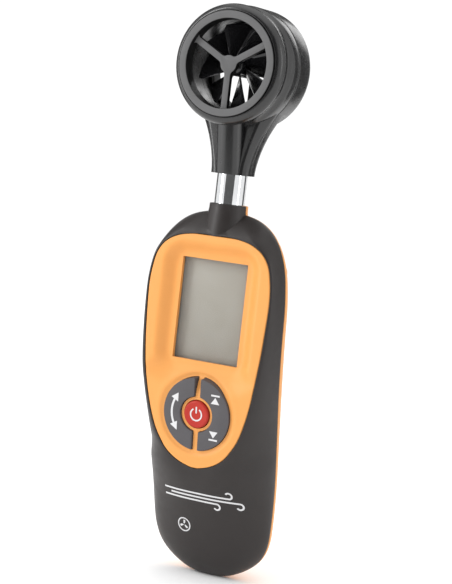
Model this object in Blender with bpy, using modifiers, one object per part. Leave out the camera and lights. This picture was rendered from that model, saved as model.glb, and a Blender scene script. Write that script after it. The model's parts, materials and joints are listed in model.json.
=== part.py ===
"""Pocket vane anemometer: a bent hand-held body with a display and three buttons, and a vane head on a
chrome neck tube. Upright, +Z up, display facing -Y, symmetric about X = 0, lowest point at Z = 0."""

import math

import bmesh
import bpy
import numpy as np
from mathutils import Matrix, Vector

MM = 0.001

# Driving dimensions, in millimetres. Depths (y) are measured from the axis of the neck tube.
TUBE_Y = -6.098
HEAD_Z = 148.2
HOUSING_R = 17.1
DUCT_R = 12.6
HEAD_FRONT = -11.3
HEAD_REAR = 9.0
BEAD_R = 16.8
TUBE_R = 4.32
TUBE_BORE_R = 4.38
COLLAR_R = 5.5
COLLAR_TOP = 109.5
WALL = 1.8
PART_GAP = 0.15
GAP = 0.3
SCREEN_Z = 79.0
SCREEN_SIZE = (20.8, 29.0)
CLUSTER_Z = 49.5
CLUSTER_TILT = math.radians(6.5)
BACK_TILT = math.radians(8.62)
ROTOR_MID_Y = -2.6
SWIVEL_Z = 106.0
BLADES = 8
CELL_R = 5.25
CELL_LENGTH = 44.5
CELL_X = 5.6
CELL_MID_Z = 36.0

# The body's side view and front view, as (z, value) points joined by a smooth curve.
HALF_WIDTH = [
    (0, 4.0), (0.6, 6.6), (2, 9.8), (4, 13.0), (6.5, 15.8), (10, 17.8), (14, 18.8), (24, 19.5),
    (46, 20.1), (62, 20.8), (80, 21.0), (90, 20.3), (95, 19.2), (99, 17.6), (102, 15.7), (104.5, 12.9),
    (106.3, 9.2), (107.4, 4.2),
]
FRONT = [
    (0, 13.2), (0.6, 12.0), (2, 10.5), (4, 9.0), (6.5, 7.7), (14, 5.2), (24, 1.0), (33, -3.1),
    (37, -3.98), (42, -4.55), (50, -5.46), (56, -6.1), (62, -6.7), (80, -6.8), (98, -6.8), (100.5, -6.5),
    (103, -4.9), (105, -3.1), (106.5, -1.6), (107.4, -0.8),
]
PARTING = [(0, 14.6), (6, 14.2), (14, 12.9), (30, 10.6), (46, 7.0), (62, 2.7), (78, 0.7), (92, 0.1), (101, 0.0)]
BACK = [
    (0, 16.2), (0.6, 17.6), (2, 19.8), (4, 21.9), (7, 23.6), (12, 24.12), (16, 23.51), (20, 22.904), (76, 14.416),
    (80, 13.81), (86, 12.8), (93, 11.2), (98, 9.4), (102, 7.0), (105, 4.4), (107.4, 1.2),
]
PLATE_HALF = [
    (33.8, 0.9), (34.4, 3.2), (35.6, 6.2), (37.5, 8.9), (40, 11.0), (45, 13.8), (54, 16.4), (66, 18.2),
    (78, 19.05), (85, 19.2), (90, 18.65), (94, 17.6), (97, 15.4), (99, 12.1), (100, 8.6), (100.4, 4.0),
]
PLATE_BOTTOM, PLATE_TOP = PLATE_HALF[0][0], PLATE_HALF[-1][0]
PLATE_THICKNESS = [(33, 1.8), (56, 1.8), (61, 3.6), (101, 3.6)]
FRONT_EXPONENT = [(0, 2.0), (33, 2.0), (40, 1.5), (48, 1.5), (70, 2.0), (108, 2.0)]
FLAT_BACK = [(0, 1.0), (7, 5.0), (14, 8.0), (84, 8.0), (100, 4.0), (107.4, 1.0)]
BACK_EXPONENT = 1.67

for old in list(bpy.data.objects):
    bpy.data.objects.remove(old, do_unlink=True)
PARTS = bpy.data.collections.new("vane_anemometer")
bpy.context.scene.collection.children.link(PARTS)


# ---------------------------------------------------------------- helpers

def smooth(table, z):
    """Monotone cubic through the table's (z, value) points."""
    x = np.array([row[0] for row in table], float)
    y = np.array([row[1] for row in table], float)
    z = min(max(z, x[0]), x[-1])
    step, slope = np.diff(x), np.diff(y) / np.diff(x)
    tangent = np.empty(len(x))
    tangent[0], tangent[-1] = slope[0], slope[-1]
    for i in range(1, len(x) - 1):
        before, after = slope[i - 1], slope[i]
        if before * after <= 0:
            tangent[i] = 0
        else:
            w1, w2 = 2 * step[i] + step[i - 1], step[i] + 2 * step[i - 1]
            tangent[i] = (w1 + w2) / (w1 / before + w2 / after)
    i = min(int(np.searchsorted(x, z, side="right")) - 1, len(x) - 2)
    t = (z - x[i]) / step[i]
    return float(
        (2 * t**3 - 3 * t**2 + 1) * y[i] + (t**3 - 2 * t**2 + t) * step[i] * tangent[i]
        + (3 * t**2 - 2 * t**3) * y[i + 1] + (t**3 - t**2) * step[i] * tangent[i + 1]
    )


def material(name, colour, roughness, metallic=0.0):
    made = bpy.data.materials.new(name)
    made.use_nodes = True
    shader = made.node_tree.nodes["Principled BSDF"]
    shader.inputs["Base Color"].default_value = (*colour, 1)
    shader.inputs["Roughness"].default_value = roughness
    shader.inputs["Metallic"].default_value = metallic
    return made


DARK = material("dark_shell", (0.045, 0.040, 0.038), 0.55)
BLACK = material("black_plastic", (0.022, 0.022, 0.023), 0.42)
GUARD = material("guard_grey", (0.16, 0.16, 0.16), 0.5)
ORANGE = material("orange", (0.95, 0.42, 0.10), 0.45)
GREY = material("button_grey", (0.14, 0.135, 0.14), 0.6)
RED = material("button_red", (0.50, 0.035, 0.015), 0.45)
CLEAR = material("clear_window", (0.55, 0.58, 0.56), 0.06)
LCD = material("lcd_glass", (0.35, 0.34, 0.29), 0.2)
WHITE = material("white_plastic", (0.8, 0.8, 0.78), 0.5)
CHROME = material("chrome", (0.85, 0.86, 0.88), 0.08, 1.0)
STEEL = material("steel", (0.5, 0.5, 0.52), 0.3, 1.0)
BRASS = material("brass", (0.75, 0.55, 0.22), 0.3, 1.0)
BOARD = material("circuit_board", (0.02, 0.22, 0.08), 0.5)
CHIP = material("chip_epoxy", (0.02, 0.02, 0.02), 0.5)
RUBBER = material("rubber", (0.03, 0.03, 0.03), 0.8)
SILICONE = material("silicone", (0.55, 0.55, 0.56), 0.7)
CELL = material("cell_jacket", (0.12, 0.25, 0.45), 0.35)


def world(x, y, z):
    """A point with y from the tube's axis, in the model's frame. All is drawn in millimetres."""
    return Vector((x, y + TUBE_Y, z))


def put(mesh_data, name, look=None):
    made = bpy.data.objects.new(name, mesh_data)
    PARTS.objects.link(made)
    if look is not None:
        made.data.materials.clear()
        made.data.materials.append(look)
    return made


def from_bmesh(bm, name, look=None):
    """An object from a bmesh drawn in millimetres, with its faces turned outwards."""
    for vertex in bm.verts:
        vertex.co = world(*vertex.co)
    bmesh.ops.recalc_face_normals(bm, faces=bm.faces)
    if bm.calc_volume(signed=True) < 0:
        bmesh.ops.reverse_faces(bm, faces=bm.faces)
    data = bpy.data.meshes.new(name)
    bm.to_mesh(data)
    bm.free()
    return put(data, name, look)


def box(name, low, high, look=None, tilt=0.0, pivot=(0, 0, 0)):
    """A box from its low corner to its high one, turned by tilt about X through the pivot."""
    bm = bmesh.new()
    bmesh.ops.create_cube(bm, size=1)
    size = [b - a for a, b in zip(low, high)]
    middle = [(a + b) / 2 for a, b in zip(low, high)]
    bmesh.ops.scale(bm, vec=size, verts=bm.verts)
    bmesh.ops.translate(bm, vec=middle, verts=bm.verts)
    turn(bm, tilt, pivot)
    return from_bmesh(bm, name, look)


def turn(bm, tilt, pivot):
    if tilt:
        bmesh.ops.rotate(bm, cent=pivot, matrix=Matrix.Rotation(tilt, 3, "X"), verts=bm.verts)


def rod(name, start, end, radius, look=None, sides=24, tilt=0.0, pivot=(0, 0, 0)):
    """A cylinder between two points."""
    start, end = Vector(start), Vector(end)
    bm = bmesh.new()
    bmesh.ops.create_cone(
        bm, cap_ends=True, segments=sides, radius1=radius, radius2=radius, depth=(end - start).length,
    )
    spin = (end - start).to_track_quat("Z", "Y").to_matrix()
    bmesh.ops.rotate(bm, cent=(0, 0, 0), matrix=spin, verts=bm.verts)
    bmesh.ops.translate(bm, vec=(start + end) / 2, verts=bm.verts)
    turn(bm, tilt, pivot)
    return from_bmesh(bm, name, look)


def loft(name, rings, look=None):
    """A closed solid through rings of the same number of points."""
    bm = bmesh.new()
    loops = [[bm.verts.new(point) for point in ring] for ring in rings]
    for low, high in zip(loops, loops[1:]):
        for i in range(len(low)):
            j = (i + 1) % len(low)
            bm.faces.new((low[i], low[j], high[j], high[i]))
    bm.faces.new(loops[0])
    bm.faces.new(loops[-1])
    return from_bmesh(bm, name, look)


def turned(name, profile, look=None, steps=40, along="Y", centre=(0, 0, HEAD_Z)):
    """A ring or disc turned from a closed profile of (radius, height) points, by a Screw modifier."""
    data = bpy.data.meshes.new(name)
    points = [(r, 0, h) for r, h in profile]
    closed = min(r for r, _ in profile) > 0
    edges = [(i, i + 1) for i in range(len(points) - 1)]
    if closed:
        edges.append((len(points) - 1, 0))
    data.from_pydata(points, edges, [])
    made = put(data, name)
    screw = made.modifiers.new("Screw", "SCREW")
    screw.axis = "Z"
    screw.steps = steps
    screw.render_steps = steps
    screw.use_merge_vertices = True
    screw.merge_threshold = 0.0001
    bm = bmesh.new()
    bm.from_mesh(evaluated(made))
    bmesh.ops.remove_doubles(bm, verts=bm.verts, dist=0.0001)
    bpy.data.objects.remove(made, do_unlink=True)
    if along == "Y":
        bmesh.ops.rotate(bm, cent=(0, 0, 0), matrix=Matrix.Rotation(-math.pi / 2, 3, "X"), verts=bm.verts)
    bmesh.ops.translate(bm, vec=centre, verts=bm.verts)
    return from_bmesh(bm, name, look)


def evaluated(made):
    bpy.context.view_layer.update()
    return bpy.data.meshes.new_from_object(made.evaluated_get(bpy.context.evaluated_depsgraph_get()))


def combine(target, operation, *others):
    """Joins, cuts or intersects the target with each other solid, and removes those. The EXACT solver turns
    the thin shells inside out or leaves them open, so the MANIFOLD solver does the work."""
    for other in others:
        look = target.data.materials[:]
        step = target.modifiers.new("Boolean", "BOOLEAN")
        step.solver = "MANIFOLD"
        step.operation = operation
        step.object = other
        target.data = evaluated(target)
        target.modifiers.clear()
        target.data.materials.clear()
        for each in look:
            target.data.materials.append(each)
        bpy.data.objects.remove(other, do_unlink=True)
    return target


def cut(target, *others):
    return combine(target, "DIFFERENCE", *others)


def join(target, *others):
    return combine(target, "UNION", *others)


def keep(target, *others):
    return combine(target, "INTERSECT", *others)


def copy_of(source, name):
    made = bpy.data.objects.new(name, source.data.copy())
    PARTS.objects.link(made)
    return made


# ---------------------------------------------------------------- the body's surfaces

def quarter(steps, exponent):
    """Points of a superellipse quarter, from (0, 1) to (1, 0), as (across, outwards)."""
    angles = [math.pi / 2 * i / steps for i in range(steps + 1)]
    return [(math.sin(a) ** (2 / exponent), math.cos(a) ** (2 / exponent)) for a in angles]


def body_ring(z, place, side=0.0, front=0.0, back=0.0):
    """One level section of the body at height z, moved in by the given walls, and placed at height place."""
    wide = smooth(HALF_WIDTH, z) - side
    near, far, part = smooth(FRONT, z) + front, smooth(BACK, z) - back, smooth(PARTING, z)
    part = min(max(part, near + 0.6), far - 0.6)
    flat = 1.0
    if PLATE_BOTTOM < z < PLATE_TOP:
        flat = smooth(PLATE_HALF, z) + 0.35 - side
    flat = max(min(flat, wide - 0.6), 0.6)
    rear_flat = max(min(smooth(FLAT_BACK, z) - side / 2, wide - 0.8), 0.6)
    ahead = quarter(4, smooth(FRONT_EXPONENT, z))
    behind = quarter(4, BACK_EXPONENT)
    right = [(flat + (wide - flat) * u, part - (part - near) * v) for u, v in ahead]
    right += [(rear_flat + (wide - rear_flat) * u, part + (far - part) * v) for u, v in reversed(behind)][1:]
    return [(x, y, place) for x, y in right] + [(-x, y, place) for x, y in reversed(right)]


OUTER_LEVELS = [
    0, 0.6, 2, 4, 7, 11, 16, 24, 30, 33.8, 35, 37.5, 41, 46, 53, 62, 80, 88, 93, 97, 99.5, 101, 103, 105,
    106.5, 107.4,
]
INNER_LEVELS = [2.2, 3.5, 6, 10, 16, 24, 33, 42, 55, 61.5, 80, 90, 96, 100.8]


def plate_slab(name, grow, front, back, look=None):
    """A solid with the faceplate's outline, between two depths behind the body's front line."""
    levels = [33.8, 34.4, 35.6, 37.5, 41, 46, 52, 56, 61, 68, 78, 87, 93, 97, 99, 100, 100.4]
    rings = []
    for i, z in enumerate(levels):
        half = smooth(PLATE_HALF, z) + grow
        at = z + (grow if i == len(levels) - 1 else -grow if i == 0 else 0)
        near, far = smooth(FRONT, z) + front(z), smooth(FRONT, z) + back(z)
        rings.append([(-half, near, at), (half, near, at), (half, far, at), (-half, far, at)])
    return loft(name, rings, look)


def half_space(name, rear):
    """Everything in front of, or behind, the curved parting surface, less half the parting gap."""
    rings = []
    for z in [-5, 3, 9, 14, 20, 26, 34, 42, 50, 58, 62, 68, 78, 90, 101, 115]:
        edge = smooth(PARTING, z) + (-PART_GAP if rear else PART_GAP)
        far = 50 if rear else -40
        rings.append([(-40, edge, z), (40, edge, z), (40, far, z), (-40, far, z)])
    return loft(name, rings)


def cluster(x, y, z):
    """A point of the button cluster's own upright frame, before it is tilted about its centre."""
    return (x, CLUSTER_FRONT + y, CLUSTER_Z + z)


CLUSTER_FRONT = smooth(FRONT, CLUSTER_Z)
CLUSTER_PIVOT = (0, CLUSTER_FRONT, CLUSTER_Z)
BACK_PIVOT = (0, smooth(BACK, CELL_MID_Z), CELL_MID_Z)


def cluster_rod(name, radius, y0, y1, look=None, sides=28):
    return rod(name, cluster(0, y0, 0), cluster(0, y1, 0), radius, look, sides, CLUSTER_TILT, CLUSTER_PIVOT)


def cluster_box(name, low, high, look=None):
    return box(name, cluster(*low), cluster(*high), look, CLUSTER_TILT, CLUSTER_PIVOT)


def plate_back(z):
    return smooth(PLATE_THICKNESS, z)


def screw_tip(z):
    """How far forward a case screw reaches: into the front boss, but not through to the faceplate."""
    return max(smooth(PARTING, z) - 4.0, smooth(FRONT, z) + plate_back(z) + 1.0)


CASE_SCREWS = [(-15.9, 92.0), (15.9, 92.0), (-15.0, 24.0), (15.0, 24.0)]
BOARD_SCREWS = [(-11.0, 41.0), (11.0, 41.0)]
BOARD_FRONT, BOARD_BACK = 2.2, 3.4
FLANGE_LOW, FLANGE_HIGH, FLANGE_R = 101.55, 102.65, 4.9
RING_OUT, RING_IN, POWER_R, BAR_HALF = 10.5, 5.15, 4.0, 0.93


def half_ring(name, grow, y0, y1, side, look=None):
    """One half of a flat ring, cut off beside the upright bar between the two halves."""
    made = cluster_rod(name, RING_OUT + grow, y0, y1, look)
    cut(made, cluster_rod("c", RING_IN - grow, y0 - 1, y1 + 1))
    inner = BAR_HALF - grow
    if side > 0:
        return cut(made, cluster_box("c", (-20, y0 - 1, -20), (inner, y1 + 1, 20)))
    return cut(made, cluster_box("c", (-inner, y0 - 1, -20), (20, y1 + 1, 20)))


# ---------------------------------------------------------------- casing

def make_casing():
    """Front and rear shells, faceplate and battery door, all cut from one outer form."""
    outer = loft("outer", [body_ring(z, z) for z in OUTER_LEVELS])
    join(outer, rod("c", (0, 0, 99.2), (0, 0, COLLAR_TOP), COLLAR_R, sides=28))
    hollow = loft("hollow", [
        body_ring(z, z, WALL, plate_back(z) + 1.4, WALL) for z in INNER_LEVELS
    ])
    door_blank = cut(copy_of(outer, "battery_door"), copy_of(hollow, "c"))
    for x, z in CASE_SCREWS:
        cut(hollow, rod("c", (x, -20, z), (x, 40, z), 2.7))
    for x, z in BOARD_SCREWS:
        cut(hollow, rod("c", (x, -20, z), (x, BOARD_FRONT - GAP, z), 2.1, sides=16))
    cut(outer, hollow)
    for x, z in CASE_SCREWS:
        part = smooth(PARTING, z)
        cut(outer, rod("c", (x, screw_tip(z) - GAP, z), (x, part + 6, z), 1.1, sides=16))
        cut(outer, rod("c", (x, part + 4, z), (x, 40, z), 2.2, sides=20))
    cut(outer, rod("c", (0, 0, FLANGE_HIGH + 0.05), (0, 0, 115), TUBE_BORE_R, sides=28))
    cut(outer, rod("c", (0, 0, FLANGE_LOW - 0.15), (0, 0, FLANGE_HIGH + 0.15), FLANGE_R + 0.1, sides=28))
    cut(outer, rod("c", (0, 0, 99), (0, 0, FLANGE_LOW), 1.6, sides=16))
    cut(outer, rod("c", (0, 0, 105.4), (0, 0, 107.0), 4.95, sides=28))
    front = copy_of(outer, "front_shell")
    rear = copy_of(outer, "rear_shell")
    bpy.data.objects.remove(outer, do_unlink=True)
    cut(front, half_space("c", True))
    cut(rear, half_space("c", False))

    cut(front, plate_slab("c", 0.15, lambda z: -9.0, lambda z: plate_back(z) + 0.15))
    cut(front, box("c", (-12.4, -9, 62.2), (12.4, 0, 95.8)))
    cut(front, cluster_rod("c", POWER_R + 0.2, -6, 8))
    for side in (-1, 1):
        cut(front, half_ring("c", 0.2, -6, 8, side))
    for x, z in BOARD_SCREWS:
        cut(front, rod("c", (x, BOARD_FRONT - 5.0, z), (x, BOARD_FRONT + 1, z), 0.95, sides=12))
    front.data.materials.append(DARK)

    door_low, door_high = -23.2, 24.4
    y = BACK_PIVOT[1]
    door_cut = box("c", (-12.3, y - 6, CELL_MID_Z + door_low - GAP), (12.3, y + 6, CELL_MID_Z + door_high + GAP),
                   None, BACK_TILT, BACK_PIVOT)
    cut(rear, door_cut)
    rear.data.materials.append(ORANGE)
    keep(door_blank, box("c", (-12.0, y - 4, CELL_MID_Z + door_low), (12.0, y + 5, CELL_MID_Z + door_high),
                         None, BACK_TILT, BACK_PIVOT))
    door_blank.data.materials.append(ORANGE)

    plate = plate_slab("faceplate", 0.0, lambda z: 0.0, plate_back, ORANGE)
    wide, tall = SCREEN_SIZE
    dish = box("c", (-14.2, -9, SCREEN_Z - 17.6), (14.2, -4.5, SCREEN_Z + 17.4))
    cut(plate, dish)
    cut(plate, box("c", (-wide / 2, -9, SCREEN_Z - tall / 2), (wide / 2, 0, SCREEN_Z + tall / 2)))
    cut(plate, cluster_rod("c", POWER_R + 0.2, -6, 8))
    for side in (-1, 1):
        cut(plate, half_ring("c", 0.2, -6, 8, side))


def make_buttons():
    power = cluster_rod("power_button", POWER_R, -0.35, 3.9, RED)
    join(power, cluster_rod("c", POWER_R + 0.8, 3.5, 4.2))
    for side, name in ((-1, "units_button"), (1, "max_min_button")):
        cap = half_ring(name, 0.0, -0.35, 3.9, side, GREY)
        join(cap, half_ring("c", 0.0, 3.55, 4.2, side))
    cluster_rod("keypad_mat", 9.6, 4.55, 5.25, SILICONE, 32)
    for x, name in ((0.0, "power"), (-7.8, "units"), (7.8, "max_min")):
        cluster_box("dome_switch_" + name, (x - 1.9, 5.6, -1.9), (x + 1.9, 6.9, 1.9), STEEL)


def make_display():
    wide, tall = 23.6 / 2, 32.0 / 2
    box("lcd_window", (-wide, -3.05, SCREEN_Z - tall), (wide, -2.35, SCREEN_Z + tall), CLEAR)
    box("lcd_glass", (-12.1, -2.05, SCREEN_Z - 16.5), (12.1, -0.45, SCREEN_Z + 16.5), LCD)
    frame = box("lcd_frame", (-12.9, -0.15, SCREEN_Z - 17.4), (12.9, 1.9, SCREEN_Z + 17.4), WHITE)
    for side in (-1, 1):
        cut(frame, box("c", (-10, -1, SCREEN_Z + side * 15.9 - 1.1), (10, 3, SCREEN_Z + side * 15.9 + 1.1)))
    for side, name in ((-1, "zebra_strip_bottom"), (1, "zebra_strip_top")):
        middle = SCREEN_Z + side * 15.9
        box(name, (-9.7, -0.15, middle - 0.8), (9.7, 1.9, middle + 0.8), SILICONE)


def make_electronics():
    board = box("main_board", (-13, BOARD_FRONT, 38), (13, BOARD_BACK, 98), BOARD)
    for x, z in BOARD_SCREWS:
        cut(board, rod("c", (x, BOARD_FRONT - 1, z), (x, BOARD_BACK + 1, z), 1.1, sides=12))
        screw = rod("board_screw_" + ("left" if x < 0 else "right"),
                    (x, BOARD_FRONT - 4, z), (x, BOARD_BACK + 0.5, z), 0.8, STEEL, 12)
        join(screw, rod("c", (x, BOARD_BACK + GAP / 2, z), (x, BOARD_BACK + 0.9, z), 1.6, sides=16))
    back = BOARD_BACK + GAP
    box("controller_chip", (-5, back, 69), (5, back + 1.2, 79), CHIP)
    box("crystal", (7, back, 72), (9, back + 1.6, 78), STEEL)
    rod("buzzer", (0, back, 88), (0, back + 3.0, 88), 5.5, BLACK, 28)
    box("cable_socket", (-2.5, -1.2, 96.8), (2.5, 1.9, 98.1), WHITE)


def make_power_supply():
    middle = BACK_PIVOT[1] - 7.55
    half = CELL_LENGTH / 2

    def axis_rod(name, x, low, high, radius, look=None, sides=24):
        start, end = (x, middle, CELL_MID_Z + low), (x, middle, CELL_MID_Z + high)
        return rod(name, start, end, radius, look, sides, BACK_TILT, BACK_PIVOT)

    for x, name, up in ((-CELL_X, "left", 1), (CELL_X, "right", -1)):
        cell = axis_rod("battery_cell_" + name, x, -half + 0.5, half - 0.5, CELL_R, CELL, 28)
        tip = half - 1.0
        join(cell, axis_rod("c", x, min(up * tip, up * half), max(up * tip, up * half), 1.9, sides=16))
        spring_at = -up * (half + 0.1)
        far = -up * (half + 1.0)
        axis_rod("battery_spring_" + name, x, min(spring_at, far), max(spring_at, far), 3.2, STEEL, 16)
        plate_at = up * (half + 0.6)
        box("battery_plate_" + name, (x - 3.6, middle - 3.4, CELL_MID_Z + plate_at - 0.25),
            (x + 3.6, middle + 3.4, CELL_MID_Z + plate_at + 0.25), STEEL, BACK_TILT, BACK_PIVOT)


def make_fasteners():
    for index, (x, z) in enumerate(CASE_SCREWS, 1):
        part = smooth(PARTING, z)
        screw = rod(f"case_screw_{index}", (x, screw_tip(z), z), (x, part + 4.6, z), 0.95, STEEL, 16)
        join(screw, rod("c", (x, part + 4.2, z), (x, part + 5.5, z), 1.9, sides=20))


# ---------------------------------------------------------------- neck and head

def neck_ring(z):
    """A rounded section of the flared neck under the head."""
    t = (z - 118.0) / 18.0
    wide = 5.8 + 8.4 * t**1.7
    deep = 4.5 - 0.3 * t
    points = []
    for i in range(16):
        a = 2 * math.pi * (i + 0.5) / 16
        c, s = math.cos(a), math.sin(a)
        points.append((wide * math.copysign(abs(c) ** 0.5, c), deep * math.copysign(abs(s) ** 0.5, s), z))
    return points


def make_head():
    """The two halves of the vane head with the neck, cut from one form."""
    front_profile = [
        (14.75, HEAD_FRONT), (15.6, -11.0), (16.5, -10.1), (BEAD_R, -8.9), (16.5, -7.6), (16.15, -6.4),
        (16.4, -5.2), (16.95, -3.9), (HOUSING_R, -3.0),
    ]
    rear_profile = [(HOUSING_R, 6.6), (16.7, 7.9), (15.8, 8.8), (14.7, HEAD_REAR)]
    solid = turned("head", [*front_profile, *rear_profile, (DUCT_R, HEAD_REAR), (DUCT_R, HEAD_FRONT)], steps=36)
    duct = rod("duct", (0, -30, HEAD_Z), (0, 30, HEAD_Z), DUCT_R + 0.6, sides=48)
    neck = loft("neck", [neck_ring(z) for z in (118, 122, 126, 130, 133, 136)])
    join(neck, rod("c", (0, -1.2, 118), (0, -4.6, 135.0), 4.0, sides=28))
    cut(neck, box("c", (-20, -20, 110), (20, 20, 118)))
    cut(neck, duct)
    join(solid, neck)
    pocket = turned("c", [(15.5, -7.0), (15.5, 6.4), (14.0, 6.4), (14.0, -7.0)], steps=36)
    cut(solid, pocket)
    cut(solid, rod("c", (0, 0, 110), (0, 0, 130.5), TUBE_R + 0.05, sides=28))
    cut(solid, rod("c", (0, 0, 130), (0, 0, 133.5), 2.2, sides=16))
    seat_front = turned("c", [(14.9, -13), (14.9, -10.85), (13.75, -10.85), (13.75, -7.5), (12, -7.5), (12, -13)])
    cut(solid, seat_front)
    seat_rear = turned("c", [(13.75, 4.6), (13.75, 7.6), (14.1, 7.6), (14.1, 12), (12, 12), (12, 4.6)])
    cut(solid, seat_rear)
    for x in (-7.2, 7.2):
        cut(solid, rod("c", (x, -2.2, 132.6), (x, 3, 132.6), 0.85, sides=12))
        cut(solid, rod("c", (x, 2.2, 132.6), (x, 12, 132.6), 1.7, sides=16))
    front = copy_of(solid, "head_front_shell")
    rear = copy_of(solid, "head_rear_shell")
    bpy.data.objects.remove(solid, do_unlink=True)
    cut(front, box("c", (-40, -PART_GAP, 100), (40, 40, 180)))
    cut(rear, box("c", (-40, -40, 100), (40, PART_GAP, 180)))
    for shell in (front, rear):
        shell.data.materials.append(BLACK)
    for x, name in ((-7.2, "left"), (7.2, "right")):
        screw = rod("head_screw_" + name, (x, -2.0, 132.6), (x, 2.9, 132.6), 0.72, STEEL, 12)
        join(screw, rod("c", (x, 2.5, 132.6), (x, 3.6, 132.6), 1.5, sides=16))


def spider(guard, low, high, hub_low, hub_high, reach):
    """Three arms, one straight down, and a hub, joined to a guard's ring."""
    for angle in (30, 150, 270):
        a = math.radians(angle)
        arm = box("c", (0, low, -0.95), (reach, high, 0.95))
        arm.data.transform(Matrix.Translation(-world(0, 0, 0)))
        arm.data.transform(Matrix.Rotation(-a, 4, "Y"))
        arm.data.transform(Matrix.Translation(world(0, 0, HEAD_Z)))
        join(guard, arm)
    join(guard, rod("c", (0, hub_low, HEAD_Z), (0, hub_high, HEAD_Z), 2.5, sides=24))
    return guard


def make_guards():
    front = turned("front_guard", [
        (14.6, -11.9), (14.6, -11.1), (13.45, -11.1), (13.45, -7.7), (12.45, -7.7), (12.45, -11.9),
    ], GUARD, 36)
    spider(front, -10.2, -8.6, -10.2, -8.0, 13.0)
    rear = turned("rear_guard", [(13.8, 7.9), (13.8, 9.3), (12.45, 9.3), (12.45, 5.0), (13.45, 5.0), (13.45, 7.9)],
                  GUARD, 36)
    spider(rear, 5.6, 7.2, 5.0, 7.2, 13.0)
    for guard, y0, y1 in ((front, -9.3, -7), (rear, 4, 6.3)):
        cut(guard, rod("c", (0, y0, HEAD_Z), (0, y1, HEAD_Z), 1.2, sides=16))
    for name, y0, y1, pocket in (("front_bearing", -9.2, -8.1, -8.7), ("rear_bearing", 5.1, 6.2, 5.7)):
        cup = rod(name, (0, y0, HEAD_Z), (0, y1, HEAD_Z), 1.1, BRASS, 16)
        reach = (pocket, -5) if y0 < 0 else (0, pocket)
        cut(cup, rod("c", (0, reach[0], HEAD_Z), (0, reach[1], HEAD_Z), 0.45, sides=16))


def blade(index):
    """One twisted blade: its slant to the axis grows from root to tip."""
    rings = []
    for radius in (2.2, 4.5, 7.0, 9.5, 11.8):
        spread = (1.0 + 0.25 * radius) / radius
        ring = []
        for depth, side in ((-3.6, -1), (-3.6, 1), (0, 1), (3.6, 1), (3.6, -1), (0, -1)):
            a = math.radians(360 / BLADES * index) - spread * depth / 3.6 + side * 0.35 / radius
            ring.append((radius * math.cos(a), ROTOR_MID_Y + depth, HEAD_Z + radius * math.sin(a)))
        rings.append(ring)
    return loft("c", rings)


def make_rotor():
    rotor = rod("rotor", (0, -6.9, HEAD_Z), (0, 1.9, HEAD_Z), 2.9, BLACK, 32)
    for index in range(BLADES):
        join(rotor, blade(index))
    cut(rotor, rod("c", (0, -9, HEAD_Z), (0, 4, HEAD_Z), 0.6, sides=16))
    rod("rotor_axle", (0, -8.6, HEAD_Z), (0, 5.6, HEAD_Z), 0.4, STEEL, 16)
    turned("rotor_magnet", [(2.6, 2.2), (2.6, 3.6), (0.6, 3.6), (0.6, 2.2)], STEEL, 24)


def make_neck_tube():
    turned("neck_tube", [(TUBE_R, 130.2), (TUBE_R, FLANGE_HIGH + 0.4), (3.5, FLANGE_HIGH + 0.4), (3.5, 130.2)],
           CHROME, 32, "Z", (0, 0, 0))
    turned("swivel_flange", [
        (FLANGE_R, FLANGE_HIGH), (FLANGE_R, FLANGE_LOW), (1.7, FLANGE_LOW), (1.7, FLANGE_HIGH)
    ], STEEL, 28, "Z", (0, 0, 0))
    turned("swivel_o_ring", [(4.88, 106.6), (4.88, 105.7), (4.4, 105.7), (4.4, 106.6)], RUBBER, 28, "Z", (0, 0, 0))
    rod("sensor_cable", (0, 0, 98.4), (0, 0, 131.0), 1.1, RUBBER, 12)
    box("sensor_board", (-3.2, 0.6, 162.25), (3.2, 5.4, 162.85), BOARD)
    box("hall_sensor", (-1.6, 1.8, 163.1), (1.6, 4.2, 163.4), CHIP)


def hang(name, point, above, members):
    """An empty on a joint's axis, which carries the pieces that move about it."""
    axis = bpy.data.objects.new(name, None)
    PARTS.objects.link(axis)
    axis.empty_display_size = 0.01
    place = Vector(point) * MM
    if above:
        axis.parent = bpy.data.objects[above]
        axis.location = place - axis.parent.location
    else:
        axis.location = place
    for member in members:
        made = bpy.data.objects[member]
        made.data.transform(Matrix.Translation(-place))
        made.parent = axis


make_casing()
make_buttons()
make_display()
make_electronics()
make_power_supply()
make_fasteners()
make_head()
make_guards()
make_rotor()
make_neck_tube()

for piece in PARTS.objects:
    piece.data.transform(Matrix.Scale(MM, 4))
    piece.data.shade_smooth()
    piece.data.set_sharp_from_angle(angle=math.radians(35))

hang("swivel_axis", world(0, 0, SWIVEL_Z), None, [
    "neck_tube", "swivel_flange", "head_front_shell", "head_rear_shell", "head_screw_left", "head_screw_right",
    "front_guard", "rear_guard", "front_bearing", "rear_bearing", "sensor_board", "hall_sensor",
])
hang("rotor_axis", world(0, ROTOR_MID_Y, HEAD_Z), "swivel_axis", ["rotor", "rotor_axle", "rotor_magnet"])
for cap in ("power_button", "units_button", "max_min_button"):
    hang(cap + "_travel", world(0, CLUSTER_FRONT, CLUSTER_Z), None, [cap])
hang("battery_door_travel", world(*BACK_PIVOT), None, ["battery_door"])
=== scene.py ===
"""Looks of the pocket vane anemometer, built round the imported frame: finely lofted casing, dished faceplate,
keys with pictograms, turned vane head, guards and twisted rotor, each with a procedural material."""
import json
import math

import bmesh
import bpy
import numpy as np
from mathutils import Matrix, Vector


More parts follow.
